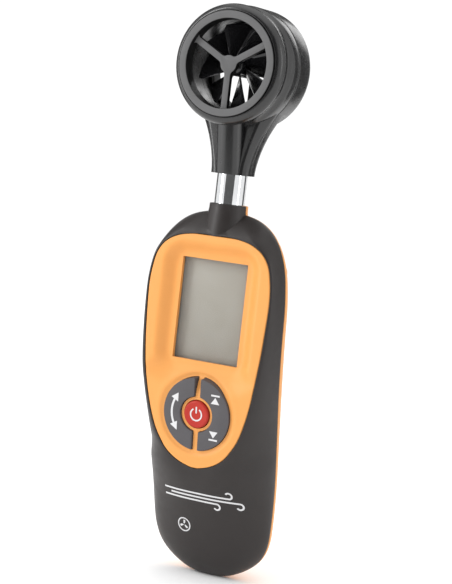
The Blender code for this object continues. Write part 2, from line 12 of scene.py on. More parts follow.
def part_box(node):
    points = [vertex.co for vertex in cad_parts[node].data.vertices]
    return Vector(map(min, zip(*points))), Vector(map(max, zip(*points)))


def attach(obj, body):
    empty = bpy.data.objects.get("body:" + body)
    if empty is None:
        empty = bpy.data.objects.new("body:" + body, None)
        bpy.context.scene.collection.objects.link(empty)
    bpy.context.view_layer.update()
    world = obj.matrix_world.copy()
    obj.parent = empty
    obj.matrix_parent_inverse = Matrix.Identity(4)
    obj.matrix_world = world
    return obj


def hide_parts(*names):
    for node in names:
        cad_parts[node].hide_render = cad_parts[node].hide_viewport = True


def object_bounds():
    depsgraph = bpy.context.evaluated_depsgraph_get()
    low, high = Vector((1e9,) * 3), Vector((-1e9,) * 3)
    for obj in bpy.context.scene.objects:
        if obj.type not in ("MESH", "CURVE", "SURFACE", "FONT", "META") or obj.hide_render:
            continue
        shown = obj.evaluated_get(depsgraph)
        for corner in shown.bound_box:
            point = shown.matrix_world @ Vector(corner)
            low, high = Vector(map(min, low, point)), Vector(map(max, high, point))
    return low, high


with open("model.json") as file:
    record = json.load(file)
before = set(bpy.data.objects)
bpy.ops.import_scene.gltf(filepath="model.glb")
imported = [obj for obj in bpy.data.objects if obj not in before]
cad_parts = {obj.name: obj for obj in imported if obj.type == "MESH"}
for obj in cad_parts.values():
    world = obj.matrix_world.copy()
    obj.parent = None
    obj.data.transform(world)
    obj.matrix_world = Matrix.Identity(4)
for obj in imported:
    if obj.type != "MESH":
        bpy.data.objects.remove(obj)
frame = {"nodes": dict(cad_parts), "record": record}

CAD_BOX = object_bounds()
MM = 0.001


def middle(node):
    low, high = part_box(node)
    return (low + high) / 2 / MM


# Driving dimensions in millimetres. Depths (y) are measured from the axis of the neck tube.
TUBE_Y = middle("neck_tube").y
HEAD_Z = middle("rotor_axle").z
HOUSING_R, BEAD_R = 17.1, 16.8
HEAD_FRONT, HEAD_REAR = -11.3, 9.0
TUBE_R = 4.32
COLLAR_R, COLLAR_FOOT, COLLAR_TOP, COLLAR_BORE = 5.5, 6.25, 109.5, 4.38
SCREEN_Z = 79.0
SCREEN_WIDE, SCREEN_TALL = 20.8, 29.0
CLUSTER_Z = 49.5
CLUSTER_TILT = math.radians(6.5)
RING_OUT, RING_IN, POWER_R, BAR_HALF = 10.5, 5.15, 4.0, 0.93
CAP_FRONT = -0.35
BACK_TILT = math.radians(8.62)
CELL_MID_Z = 36.0
DOOR_LOW, DOOR_HIGH, DOOR_HALF, DOOR_CORNER = -23.2, 24.4, 12.0, 1.6
BLADES = 8
BLADE_TURN, BLADE_REACH = 3.0, 3.6
ROTOR_MID_Y = -2.6
PART_GAP = 0.09
SHELL_WALL = 1.7
BODY_TOP = 107.4
PLATE_STEP_Z, PLATE_THIN, PLATE_THICK = 57, 1.8, 3.6
NECK_FOOT, NECK_RISE, NECK_TOP = 118.0, 18.0, 137.2
COLUMN_R = 3.98
LINER_R, GUARD_SEAT_R, GUARD_BORE_R = 13.78, 14.66, 12.45
TUBE_FOOT, TUBE_TOP, TUBE_BORE_R = 103.05, 130.2, 3.5
CASE_SCREWS = [(-15.9, 92.0), (15.9, 92.0), (-15.0, 24.0), (15.0, 24.0)]
HEAD_SCREWS = [(-7.2, 132.6), (7.2, 132.6)]

# The body's side view and front view, as (z, value) points joined by a smooth curve.
HALF_WIDTH = [
    (0, 4.0), (0.6, 6.6), (2, 9.8), (4, 13.0), (6.5, 15.8), (10, 17.8), (14, 18.8), (24, 19.5),
    (46, 20.1), (62, 20.8), (80, 21.0), (90, 20.3), (95, 19.2), (99, 17.6), (102, 15.7), (104.5, 12.9),
    (106.3, 9.2), (BODY_TOP, 4.2),
]
FRONT = [
    (0, 13.2), (0.6, 12.0), (2, 10.5), (4, 9.0), (6.5, 7.7), (14, 5.2), (24, 1.0), (33, -3.1),
    (37, -3.98), (42, -4.55), (50, -5.46), (56, -6.1), (62, -6.7), (80, -6.8), (98, -6.8), (100.5, -6.5),
    (103, -4.9), (105, -3.1), (106.5, -1.6), (BODY_TOP, -0.8),
]
PARTING = [
    (0, 14.6), (6, 14.2), (14, 12.9), (30, 10.6), (46, 7.0), (62, 2.7), (78, 0.7), (92, 0.1), (101, 0.0),
]
BACK = [
    (0, 16.2), (0.6, 17.6), (2, 19.8), (4, 21.9), (7, 23.6), (12, 24.12), (16, 23.51), (20, 22.904),
    (76, 14.416), (80, 13.81), (86, 12.8), (93, 11.2), (98, 9.4), (102, 7.0), (105, 4.4), (BODY_TOP, 1.2),
]
PLATE_EDGE = [
    (0, 33.76), (3.2, 34.4), (6.2, 35.6), (8.9, 37.5), (11.0, 40), (13.8, 45), (16.4, 54), (18.2, 66),
    (19.05, 78), (19.2, 85), (18.65, 90), (17.6, 94), (15.4, 97.1), (12.1, 99.1), (8.4, 100.05), (4, 100.45),
    (0, 100.5),
]
FRONT_EXPONENT = [(0, 2.0), (33, 2.0), (40, 1.5), (48, 1.5), (70, 2.0), (108, 2.0)]
FRONT_FLAT = [
    (0, 1.0), (22, 1.2), (28, 2.4), (32, 4.0), (34, 5.4), (35.6, 6.9), (37.5, 9.4), (40, 11.5), (45, 14.2),
    (54, 16.8), (66, 18.6), (78, 19.45), (85, 19.6), (90, 19.05), (94, 18.0), (97, 16.0), (99.1, 13.2),
    (100.5, 11.2), (102.5, 8.5), (104.5, 5.8), (106.3, 3.2), (BODY_TOP, 1.0),
]
FLAT_BACK = [(0, 1.0), (7, 5.0), (14, 8.0), (84, 8.0), (100, 4.0), (BODY_TOP, 1.0)]
BACK_EXPONENT = 1.67


# ---- curves

def smooth(table, z):
    """Monotone cubic through the table's (z, value) points."""
    x = np.array([row[0] for row in table], float)
    y = np.array([row[1] for row in table], float)
    z = min(max(z, x[0]), x[-1])
    step, slope = np.diff(x), np.diff(y) / np.diff(x)
    tangent = np.empty(len(x))
    tangent[0], tangent[-1] = slope[0], slope[-1]
    for i in range(1, len(x) - 1):
        before, after = slope[i - 1], slope[i]
        if before * after <= 0:
            tangent[i] = 0
        else:
            w1, w2 = 2 * step[i] + step[i - 1], step[i] + 2 * step[i - 1]
            tangent[i] = (w1 + w2) / (w1 / before + w2 / after)
    i = min(int(np.searchsorted(x, z, side="right")) - 1, len(x) - 2)
    t = (z - x[i]) / step[i]
    return float(
        (2 * t**3 - 3 * t**2 + 1) * y[i] + (t**3 - 2 * t**2 + t) * step[i] * tangent[i]
        + (3 * t**2 - 2 * t**3) * y[i + 1] + (t**3 - t**2) * step[i] * tangent[i + 1]
    )


def fair(table, z):
    """The smooth curve averaged over a short stretch, so that a highlight runs along it evenly."""
    reach = min(2.4, 0.45 * (z - table[0][0]), 0.45 * (table[-1][0] - z))
    if reach <= 0:
        return smooth(table, z)
    shares = ((-1, 1), (-0.5, 4), (0, 6), (0.5, 4), (1, 1))
    return sum(w * smooth(table, z + reach * d) for d, w in shares) / 16


def spline(before, points, after, steps):
    """Points along a Catmull-Rom curve through the given ones, which heads from before and on to after."""
    p = [np.array(q, float) for q in (before, *points, after)]
    out = []
    for a, b, c, d in zip(p, p[1:], p[2:], p[3:]):
        for i in range(steps):
            t = i / steps
            out.append(0.5 * (2 * b + (c - a) * t + (2 * a - 5 * b + 4 * c - d) * t**2
                              + (3 * b - a - 3 * c + d) * t**3))
    out.append(p[-2])
    return np.array(out)


def dense(points, steps):
    """Extra points along a smooth curve through the given ones, which runs on straight past both ends."""
    p = [np.array(q, float) for q in points]
    return [tuple(q) for q in spline(2 * p[0] - p[1], p, 2 * p[-1] - p[-2], steps)]


def mirrored(point):
    return -point[0], point[1]


# The faceplate's outline, mirrored past both ends. Its heights are nudged so that they always rise.
PLATE_CURVE = spline(mirrored(PLATE_EDGE[1]), PLATE_EDGE, mirrored(PLATE_EDGE[-2]), 8)
PLATE_CURVE[:, 1] = np.maximum.accumulate(PLATE_CURVE[:, 1] + np.arange(len(PLATE_CURVE)) * 1e-6)


def plate_half(z):
    return float(np.interp(z, PLATE_CURVE[:, 1], PLATE_CURVE[:, 0]))


def ease(t):
    """0 to 1 with flat ends."""
    t = np.clip(t, 0, 1)
    return t * t * (3 - 2 * t)


def rounded(points, radii, steps=4):
    """A closed outline with each corner rounded by its radius."""
    pts = [np.array(p, float) for p in points]
    if not hasattr(radii, "__len__"):
        radii = [radii] * len(pts)
    out = []
    for i, (here, r) in enumerate(zip(pts, radii)):
        before, after = pts[i - 1] - here, pts[(i + 1) % len(pts)] - here
        d = min(r, 0.45 * np.linalg.norm(before), 0.45 * np.linalg.norm(after))
        if d <= 0:
            out.append(here)
            continue
        start = here + before / np.linalg.norm(before) * d
        end = here + after / np.linalg.norm(after) * d
        for k in range(steps + 1):
            t = k / steps
            out.append((1 - t) ** 2 * start + 2 * t * (1 - t) * here + t * t * end)
    return out


def arc(radius, start, end, steps, centre=(0, 0)):
    """Points on a circle's arc between two angles in degrees."""
    turn = [math.radians(start + (end - start) * i / steps) for i in range(steps + 1)]
    return [(centre[0] + radius * math.cos(a), centre[1] + radius * math.sin(a)) for a in turn]


# ---- meshes, drawn in millimetres

def placed(name, data):
    """A new object in the scene."""
    made = bpy.data.objects.new(name, data)
    bpy.context.scene.collection.objects.link(made)
    return made


def new_object(name, points, faces, outwards=True):
    data = bpy.data.meshes.new(name)
    data.from_pydata([(x, y + TUBE_Y, z) for x, y, z in points], [], faces)
    bm = bmesh.new()
    bm.from_mesh(data)
    bmesh.ops.remove_doubles(bm, verts=bm.verts, dist=1e-5)
    if outwards:
        bmesh.ops.recalc_face_normals(bm, faces=bm.faces)
        if bm.calc_volume(signed=True) < 0:
            bmesh.ops.reverse_faces(bm, faces=bm.faces)
    bm.to_mesh(data)
    bm.free()
    return placed(name, data)


def loft(name, rings, closed=False):
    """A solid through rings of the same number of points. A closed one joins its last ring to its first."""
    count, wide = len(rings), len(rings[0])
    points = [p for ring in rings for p in ring]
    faces = []
    for i in range(count if closed else count - 1):
        a, b = i * wide, (i + 1) % count * wide
        faces += [(a + k, a + (k + 1) % wide, b + (k + 1) % wide, b + k) for k in range(wide)]
    if not closed:
        faces += [tuple(range(wide)), tuple(range((count - 1) * wide, count * wide))]
    return new_object(name, points, faces)


def revolve(name, profile, steps=128, along="Y", centre=(0, 0, None)):
    """A solid turned from a closed (radius, height) profile, about a line along Y or Z."""
    cx, cy, cz = centre[0], centre[1], HEAD_Z if centre[2] is None else centre[2]
    rings = []
    for i in range(steps):
        c, s = math.cos(2 * math.pi * i / steps), math.sin(2 * math.pi * i / steps)
        if along == "Y":
            rings.append([(cx + r * c, cy + h, cz + r * s) for r, h in profile])
        else:
            rings.append([(cx + r * c, cy + r * s, cz + h) for r, h in profile])
    return loft(name, rings, closed=True)


def rod(name, start, end, radius, sides=48):
    start, end = Vector(start), Vector(end)
    turn = (end - start).to_track_quat("Z", "Y").to_matrix()
    circle = [turn @ Vector((*p, 0)) for p in arc(radius, 0, 360 - 360 / sides, sides - 1)]
    return loft(name, [[tuple(base + p) for p in circle] for base in (start, end)])


def block(name, low, high):
    (a, b, c), (d, e, f) = low, high
    return loft(name, [[(a, b, z), (d, b, z), (d, e, z), (a, e, z)] for z in (c, f)])


def prism(name, outline, y0, y1):
    """A flat outline of (x, z) points, drawn out between two depths."""
    return loft(name, [[(x, y, z) for x, z in outline] for y in (y0, y1)])


def evaluated(made):
    """The object's mesh as its modifiers or its curve settings make it."""
    bpy.context.view_layer.update()
    return bpy.data.meshes.new_from_object(made.evaluated_get(bpy.context.evaluated_depsgraph_get()))


def settled(made):
    """The object with its modifiers applied."""
    data = evaluated(made)
    made.modifiers.clear()
    made.data = data
    return made


def combine(target, operation, *others):
    for other in others:
        step = target.modifiers.new("Boolean", "BOOLEAN")
        step.solver = "MANIFOLD"
        step.operation = operation
        step.object = other
        settled(target)
        bpy.data.objects.remove(other, do_unlink=True)
    return target


def cut(target, *others):
    return combine(target, "DIFFERENCE", *others)


def join(target, *others):
    return combine(target, "UNION", *others)


def bevel(made, width, segments=3, angle=40):
    step = made.modifiers.new("Bevel", "BEVEL")
    step.width = width
    step.segments = segments
    step.limit_method = "ANGLE"
    step.angle_limit = math.radians(angle)
    step.use_clamp_overlap = True
    return settled(made)


def thicken(made, wall):
    """An open skin made into a closed wall, on its inner side."""
    step = made.modifiers.new("Solidify", "SOLIDIFY")
    step.thickness = wall
    step.offset = -1
    step.use_even_offset = True
    step.thickness_clamp = 1.0
    return settled(made)


def tilt(made, angle, pivot):
    """The object turned about X through a pivot."""
    at = Vector((pivot[0], pivot[1] + TUBE_Y, pivot[2]))
    made.data.transform(Matrix.Translation(at) @ Matrix.Rotation(angle, 4, "X") @ Matrix.Translation(-at))
    return made


def dress(made, body, slot, *nodes, sharp=32):
    """Brings a finished piece to metres, gives it its finish and hangs it on its body."""
    made.data.transform(Matrix.Scale(MM, 4))
    made.data.materials.clear()
    made.data.materials.append(LOOKS[slot])
    made.data.shade_smooth()
    made.data.set_sharp_from_angle(angle=math.radians(sharp))
    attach(made, body)
    if nodes:
        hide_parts(*nodes)
    return made


# ---- materials

class Nodes:
    """A material's node tree, with short calls for the nodes used here."""

    def __init__(self, name):
        self.material = bpy.data.materials.new(name)
        self.material.use_nodes = True
        self.tree = self.material.node_tree
        self.shader = self.tree.nodes["Principled BSDF"]
        coordinates = self.tree.nodes.new("ShaderNodeTexCoord").outputs
        self.place = coordinates["Object"]
        self.facing = coordinates["Normal"]

    def link(self, start, end):
        self.tree.links.new(start, end)

    def feed(self, output, socket):
        self.link(output, self.shader.inputs[socket])

    def stretched(self, scale):
        mapping = self.tree.nodes.new("ShaderNodeMapping")
        mapping.inputs["Scale"].default_value = scale
        self.link(self.place, mapping.inputs["Vector"])
        return mapping.outputs["Vector"]

    def noise(self, scale, detail=3.0, rough=0.5, place=None):
        """Noise with features of about 1/scale metres."""
        node = self.tree.nodes.new("ShaderNodeTexNoise")
        node.inputs["Scale"].default_value = scale
        node.inputs["Detail"].default_value = detail
        node.inputs["Roughness"].default_value = rough
        self.link(place or self.place, node.inputs["Vector"])
        return node.outputs["Fac"]

    def cells(self, scale):
        node = self.tree.nodes.new("ShaderNodeTexVoronoi")
        node.inputs["Scale"].default_value = scale
        self.link(self.place, node.inputs["Vector"])
        return node.outputs["Distance"]

    def spread(self, value, low, high):
        """A 0 to 1 value mapped to a range, for roughness."""
        node = self.tree.nodes.new("ShaderNodeMapRange")
        node.inputs["From Min"].default_value = 0.3
        node.inputs["From Max"].default_value = 0.7
        node.inputs["To Min"].default_value = low
        node.inputs["To Max"].default_value = high
        self.link(value, node.inputs["Value"])
        return node.outputs["Result"]

    def colours(self, value, *stops):
        """A colour ramp over (position, colour) stops."""
        node = self.tree.nodes.new("ShaderNodeValToRGB")
        ramp = node.color_ramp
        while len(ramp.elements) < len(stops):
            ramp.elements.new(0.5)
        for element, (at, colour) in zip(ramp.elements, stops):
            element.position = at
            element.color = (*colour, 1)
        self.link(value, node.inputs["Fac"])
        return node.outputs["Color"]

    def blend(self, share, first, second):
        node = self.tree.nodes.new("ShaderNodeMix")
        node.data_type = "RGBA"
        self.link(share, node.inputs["Factor"])
        self.link(first, node.inputs["A"])
        self.link(second, node.inputs["B"])
        return node.outputs["Result"]

    def bump(self, *layers):
        """Stacked bumps, each a (height output, distance in millimetres, strength)."""
        normal = None
        for height, distance, strength in layers:
            node = self.tree.nodes.new("ShaderNodeBump")
            node.inputs["Distance"].default_value = distance * MM
            node.inputs["Strength"].default_value = strength
            self.link(height, node.inputs["Height"])
            if normal is not None:
                self.link(normal, node.inputs["Normal"])
            normal = node.outputs["Normal"]
        self.link(normal, self.shader.inputs["Normal"])


def shade(colour, factor):
    return tuple(min(1.0, c * factor) for c in colour)


def moulded(name, colour, rough, grain=5200, height=0.012, mottle=0.06, metallic=0.0, spec=0.5):
    """Moulded plastic or rubber: fine tool texture, faint cloudiness and slightly uneven gloss."""
    n = Nodes(name)
    cloud = n.noise(130, 4, 0.55)
    fine = n.noise(grain, 2, 0.6)
    base = n.colours(cloud, (0.3, shade(colour, 1 - mottle)), (0.7, shade(colour, 1 + mottle)))
    strong = 1.6 * mottle
    speck = n.colours(fine, (0.35, shade(colour, 1 - strong)), (0.65, shade(colour, 1 + strong)))
    n.feed(n.blend(n.spread(fine, 0.25, 0.6), base, speck), "Base Color")
    n.feed(n.spread(n.noise(420, 3), rough - 0.045, rough + 0.045), "Roughness")
    n.bump((n.cells(grain * 0.55), height, 0.35), (fine, height, 0.5))
    n.shader.inputs["Metallic"].default_value = metallic
    n.shader.inputs["Specular IOR Level"].default_value = spec
    return n.material


def grey_with_painted_side_shade(name, face, side, rough):
    """Grey plastic with painted shade: faces that point along the air's way are grey, and all other faces,
    such as the inner and side walls, are drawn near-black as shade.
    """
    n = Nodes(name)
    split = n.tree.nodes.new("ShaderNodeSeparateXYZ")
    n.link(n.facing, split.inputs["Vector"])
    along = n.tree.nodes.new("ShaderNodeMath")
    along.operation = "ABSOLUTE"
    n.link(split.outputs["Y"], along.inputs[0])
    # Painted shade: the object-space normal picks the side walls, which get the near-black colour instead of
    # grey.
    side_shade_mask = n.colours(along.outputs["Value"], (0.45, (0, 0, 0)), (0.75, (1, 1, 1)))
    cloud = n.noise(130, 4, 0.55)
    grey = n.colours(cloud, (0.3, shade(face, 0.95)), (0.7, shade(face, 1.05)))
    black = n.colours(cloud, (0.3, shade(side, 0.9)), (0.7, shade(side, 1.1)))
    n.feed(n.blend(side_shade_mask, black, grey), "Base Color")
    n.feed(n.spread(n.noise(420, 3), rough - 0.05, rough + 0.05), "Roughness")
    n.bump((n.noise(6500, 2, 0.6), 0.008, 0.5))
    n.shader.inputs["Specular IOR Level"].default_value = 0.3
    return n.material


def plated(name, colour, rough, lines=(1, 1, 60), wave=900):
    """Bright or brushed metal with fine lines along its turning."""
    n = Nodes(name)
    streak = n.noise(wave, 3, 0.6, n.stretched(lines))
    tones = n.colours(streak, (0.3, shade(colour, 0.96)), (0.7, shade(colour, 1.02)))
    n.feed(tones, "Base Color")
    n.feed(n.spread(streak, rough * 0.8, rough * 1.25), "Roughness")
    n.bump((streak, 0.004, 0.12))
    n.shader.inputs["Metallic"].default_value = 1.0
    return n.material


def display_glass():
    """The unlit display: a warm grey over a fine reflector grain, with painted shade that makes it a little
    darker at its lower end.
    """
    n = Nodes("lcd")
    split = n.tree.nodes.new("ShaderNodeSeparateXYZ")
    n.link(n.place, split.inputs["Vector"])
    height = n.tree.nodes.new("ShaderNodeMapRange")
    height.inputs["From Min"].default_value = (SCREEN_Z - SCREEN_TALL / 2) * MM
    height.inputs["From Max"].default_value = (SCREEN_Z + SCREEN_TALL / 2) * MM
    n.link(split.outputs["Z"], height.inputs["Value"])
    # Painted shade: the grey darkens from the display's top down to its bottom.
    painted_shade_ramp = n.colours(height.outputs["Result"], (0.0, (0.218, 0.204, 0.170)), (1.0, (0.290, 0.276, 0.236)))
    grain = n.colours(n.noise(9000, 2), (0.3, (0.250, 0.236, 0.200)), (0.7, (0.262, 0.248, 0.210)))
    n.feed(n.blend(n.spread(n.noise(500, 2), 0.04, 0.14), painted_shade_ramp, grain), "Base Color")
    n.feed(n.spread(n.noise(600), 0.30, 0.36), "Roughness")
    n.shader.inputs["Specular IOR Level"].default_value = 0.1
    return n.material


def clear_window():
    """Clear acrylic, nearly invisible but for its gloss."""
    n = Nodes("window")
    tones = n.colours(n.noise(300), (0.3, (0.86, 0.87, 0.86)), (0.7, (0.9, 0.9, 0.9)))
    n.feed(tones, "Base Color")
    n.feed(n.spread(n.noise(900), 0.03, 0.06), "Roughness")
    n.feed(n.spread(n.noise(200), 0.035, 0.055), "Alpha")
    n.shader.inputs["Specular IOR Level"].default_value = 0.15
    return n.material


LOOKS = {
    "body_dark": moulded("body_dark", (0.0225, 0.0185, 0.0175), 0.42, 6500, 0.010, 0.07, spec=0.35),
    "body_orange": moulded("body_orange", (0.73, 0.315, 0.079), 0.46, 5200, 0.008, 0.025, spec=0.35),
    "head_black": moulded("head_black", (0.0065, 0.0065, 0.0068), 0.24, 6500, 0.005, 0.08, spec=0.7),
    # The guards: grey faces, with painted shade in near-black on their side walls.
    "guard_grey": grey_with_painted_side_shade("guard_grey", (0.105, 0.105, 0.106), (0.006, 0.006, 0.006), 0.5),
    "rotor_black": moulded("rotor_black", (0.010, 0.010, 0.011), 0.14, 3000, 0.002, 0.1),
    "button_grey": moulded("button_grey", (0.082, 0.078, 0.083), 0.6, 7000, 0.010, 0.05, spec=0.3),
    "button_red": moulded("button_red", (0.40, 0.022, 0.013), 0.42, 7000, 0.006, 0.05, spec=0.3),
    "print_white": moulded("print_white", (0.60, 0.60, 0.61), 0.5, 9000, 0.004, 0.03),
    "window": clear_window(),
    "lcd": display_glass(),
    "white_plastic": moulded("white_plastic", (0.78, 0.78, 0.76), 0.5, 5000, 0.006, 0.03),
    "chrome": plated("chrome", (0.76, 0.77, 0.78), 0.06),
    "steel": plated("steel", (0.55, 0.55, 0.57), 0.28, (1, 40, 1)),
    "brass": plated("brass", (0.75, 0.55, 0.22), 0.25, (1, 40, 1)),
    "board": moulded("board", (0.02, 0.2, 0.07), 0.4, 2500, 0.01, 0.12),
    "chip": moulded("chip", (0.02, 0.02, 0.02), 0.55, 6000, 0.008, 0.1),
    "rubber": moulded("rubber", (0.028, 0.028, 0.028), 0.78, 4000, 0.01, 0.1),
    "silicone": moulded("silicone", (0.52, 0.52, 0.53), 0.68, 3000, 0.006, 0.05),
    "cell_jacket": moulded("cell_jacket", (0.10, 0.22, 0.42), 0.3, 1500, 0.004, 0.05, metallic=0.6),
}


# ---- the body's surfaces

def quarter(steps, exponent):
    """Points of a superellipse quarter, from (0, 1) to (1, 0), as (across, outwards)."""
    angles = [math.pi / 2 * i / steps for i in range(steps + 1)]
    return [(max(math.sin(a), 0) ** (2 / exponent), max(math.cos(a), 0) ** (2 / exponent)) for a in angles]


def front_flat(z):
    return max(min(fair(FRONT_FLAT, z), fair(HALF_WIDTH, z) - 0.6), 0.3)


def front_skin(x, z):
    """Depth of the front shell's surface at a place of the front view."""
    flat, wide = front_flat(z), fair(HALF_WIDTH, z)
    near, part, power = fair(FRONT, z), fair(PARTING, z), smooth(FRONT_EXPONENT, z)
    share = min(max((abs(x) - flat) / (wide - flat), 0), 0.999)
    return part - (part - near) * (1 - share**power) ** (1 / power)


def skin(name, levels, section, hole_half, edge):
    """An open skin, mirrored about X = 0. Each level's section runs from the hole's edge, or from the centre
    past the hole's ends, to the parting line. hole_half(z) is None past the hole."""
    points, faces, rows = [], [], []
    for z in levels:
        half = hole_half(z)
        right = section(z, edge(z) if half is None else half)
        rows.append((len(points), len(right), half is None))
        points += [(x, y, z) for x, y in right] + [(-x, y, z) for x, y in right]
    for (a, wide, solid_a), (b, _, solid_b) in zip(rows, rows[1:]):
        for k in range(wide - 1):
            faces.append((a + k, a + k + 1, b + k + 1, b + k))
            faces.append((a + wide + k + 1, a + wide + k, b + wide + k, b + wide + k + 1))
        if solid_a or solid_b:
            faces.append((a + wide, a, b, b + wide))
    return new_object(name, points, faces, outwards=False)


def faced(made, ahead):
    """Turns an open skin's faces to look forwards or backwards."""
    total = sum(face.normal.y * face.area for face in made.data.polygons)
    if (total > 0) == ahead:
        made.data.flip_normals()
    return made


def levels_between(start, stop, step):
    count = max(int(round((stop - start) / step)), 1)
    return [start + (stop - start) * i / count for i in range(count)]


def curved_end(length, steps):
    """Heights that start close together, for an end that rounds under."""
    return [length * (1 - math.cos(math.pi / 2 * i / steps)) for i in range(steps)]


def front_levels():
    return [
        *curved_end(12, 14), *levels_between(12, 96, 0.9),
        *[BODY_TOP - h for h in reversed(curved_end(11.4, 18)[1:])], BODY_TOP,
    ]


def front_section(z, start):
    """From the middle to the parting line, along the front shell."""
    wide, near = fair(HALF_WIDTH, z), fair(FRONT, z)
    part = max(fair(PARTING, z) - PART_GAP, near + 0.3)
    flat = front_flat(z)
    right = [(start + (flat - start) * k / 8, near) for k in range(8)]
    right += [(flat + (wide - flat) * u, part - (part - near) * v)
              for u, v in quarter(26, smooth(FRONT_EXPONENT, z))]
    return right


def plate_outline(grow):
    """The faceplate's outline in the front view, grown all round."""
    whole = np.array([*PLATE_CURVE, *[mirrored(point) for point in PLATE_CURVE[-2:0:-1]]])
    along = np.roll(whole, -1, axis=0) - np.roll(whole, 1, axis=0)
    along /= np.linalg.norm(along, axis=1)[:, None]
    return [(x + grow * dz, z - grow * dx) for (x, z), (dx, dz) in zip(whole, along)]


def make_front_shell():
    """The dark front half of the casing, open for the faceplate, with its half of the collar."""
    made = faced(skin("front_cover", front_levels(), front_section, lambda z: None, lambda z: 0.0), True)
    bevel(thicken(made, SHELL_WALL), 0.16, 2, 50)
    cut(made, prism("tool", plate_outline(0.13), -20, 30))
    join(made, collar_half(True))
    cut(made, rod("tool", (0, 0, 99.5), (0, 0, 112), COLLAR_BORE, 96))
    dress(made, "body", "body_dark", "front_shell", sharp=38)


def collar_half(ahead):
    """Half of the collar round the neck tube, with a softened top edge, down into the shoulder."""
    outline = rounded([(COLLAR_FOOT, 99.9), (COLLAR_FOOT, 102), (COLLAR_R, 108.4), (COLLAR_R, COLLAR_TOP),
                       (COLLAR_BORE, COLLAR_TOP), (COLLAR_BORE, 99.9)], [0, 1, 1, 0.3, 0.15, 0], 4)
    turned = revolve("collar", outline, 128, "Z", (0, 0, 0))
    gone = (-PART_GAP, 20) if ahead else (-20, PART_GAP)
    return cut(turned, block("tool", (-20, gone[0], 90), (20, gone[1], 120)))


def rear_section(z, start):
    """From the door's edge to the parting line, along the rear shell."""
    wide, far = fair(HALF_WIDTH, z), fair(BACK, z)
    part = min(fair(PARTING, z) + PART_GAP, far - 0.3)
    flat = max(min(fair(FLAT_BACK, z), wide - 0.8), 0.6)
    whole = [(flat + (wide - flat) * u, part + (far - part) * v) for u, v in quarter(40, BACK_EXPONENT)]
    whole = np.array([(0.0, far), *whole])
    travel = np.concatenate([[0], np.cumsum(np.linalg.norm(np.diff(whole, axis=0), axis=1))])
    begin = np.interp(start, whole[:, 0], travel)
    share = np.linspace(0, 1, 34)
    at = begin + (travel[-1] - begin) * share
    return list(zip(np.interp(at, travel, whole[:, 0]), np.interp(at, travel, whole[:, 1])))


def rear_depth(x, z):
    """Depth of the rear shell's surface at a place of the rear view."""
    section = np.array(rear_section(z, 0.0))
    return float(np.interp(abs(x), section[:, 0], section[:, 1]))


DOOR_BOTTOM = CELL_MID_Z + DOOR_LOW * math.cos(BACK_TILT)
DOOR_TOP = CELL_MID_Z + DOOR_HIGH * math.cos(BACK_TILT)


def door_half(z, grow):
    """Half the door's width at a height, with its rounded corners; None past its ends."""
    low, high, r = DOOR_BOTTOM - grow, DOOR_TOP + grow, DOOR_CORNER + grow
    inside = min(z - low, high - z)
    if inside < -1e-6:
        return None
    dip = max(r - inside, 0)
    return DOOR_HALF + grow - r + math.sqrt(max(r * r - dip * dip, 0))


def door_levels(grow, step=1.2):
    """Levels over the door's height, close together at its rounded corners."""
    low, high, r = DOOR_BOTTOM - grow, DOOR_TOP + grow, DOOR_CORNER + grow
    ends = curved_end(r, 8)
    return [*[low + h for h in ends], *levels_between(low + r, high - r, step),
            *[high - h for h in reversed(ends)]]


def make_rear_shell():
    """The orange rear half of the casing, open for the battery door, with bored bosses for its screws."""
    grow = 0.22
    low, high = DOOR_BOTTOM - grow, DOOR_TOP + grow
    levels = [
        *curved_end(9, 12), *levels_between(9, low - 0.05, 0.9), low - 0.01, *door_levels(grow), high + 0.01,
        *levels_between(high + 0.3, 100.8, 1.4),
        *[BODY_TOP - h for h in reversed(curved_end(6.6, 12)[1:])], BODY_TOP,
    ]
    corner = DOOR_HALF - DOOR_CORNER

    def edge(z):
        return min(corner, 0.6 * fair(HALF_WIDTH, z))

    made = faced(skin("rear_cover", levels, rear_section, lambda z: door_half(z, grow), edge), False)
    bevel(thicken(made, SHELL_WALL), 0.16, 2, 50)
    join(made, collar_half(False))
    cut(made, rod("tool", (0, 0, 99.5), (0, 0, 112), COLLAR_BORE, 96))
    for x, z in CASE_SCREWS:
        floor = smooth(PARTING, z) + 3.9
        join(made, rod("tool", (x, floor - 0.6, z), (x, rear_depth(abs(x) + 3.1, z) - 0.8, z), 3.1, 40))
        cut(made, rod("tool", (x, floor, z), (x, 40, z), 2.15, 40))
    dress(made, "body", "body_orange", "rear_shell", sharp=38)


def make_door():
    """The battery door with a ribbed thumb pad near its top edge."""
    levels = door_levels(0, 0.35)
    rows = [[(x * door_half(z, 0), z) for x in np.linspace(-1, 1, 61)] for z in levels]

    def depth(x, z):
        y = rear_depth(x, z)
        along = DOOR_TOP - z
        pad = ease((6.5 - abs(x)) / 1.5) * ease((along - 3.0) / 1.2) * ease((12.2 - along) / 1.2)
        return y - 0.45 * pad + 0.5 * pad * ease(0.5 + 0.9 * math.cos(2 * math.pi * along / 1.55))

    points = [(x, depth(x, z), z) for row in rows for x, z in row]
    wide = len(rows[0])
    faces = [(i * wide + k, i * wide + k + 1, (i + 1) * wide + k + 1, (i + 1) * wide + k)
             for i in range(len(rows) - 1) for k in range(wide - 1)]
    made = faced(new_object("battery_cover", points, faces, outwards=False), False)
    bevel(thicken(made, 1.6), 0.14, 2, 55)
    dress(made, "door", "body_orange", "battery_door", sharp=45)


# ---- faceplate, keys and display

CLUSTER_FRONT = smooth(FRONT, CLUSTER_Z)
CLUSTER_PIVOT = (0, CLUSTER_FRONT, CLUSTER_Z)
DISH_DEPTH = 2.4
RECESS_DEPTH = 0.4


def box_distance(x, z, half_wide, half_tall, corner):
    """Distance outside a rounded rectangle round the display's centre."""
    dx, dz = abs(x) - half_wide + corner, abs(z - SCREEN_Z) - half_tall + corner
    return math.hypot(max(dx, 0), max(dz, 0)) + min(max(dx, dz), 0) - corner


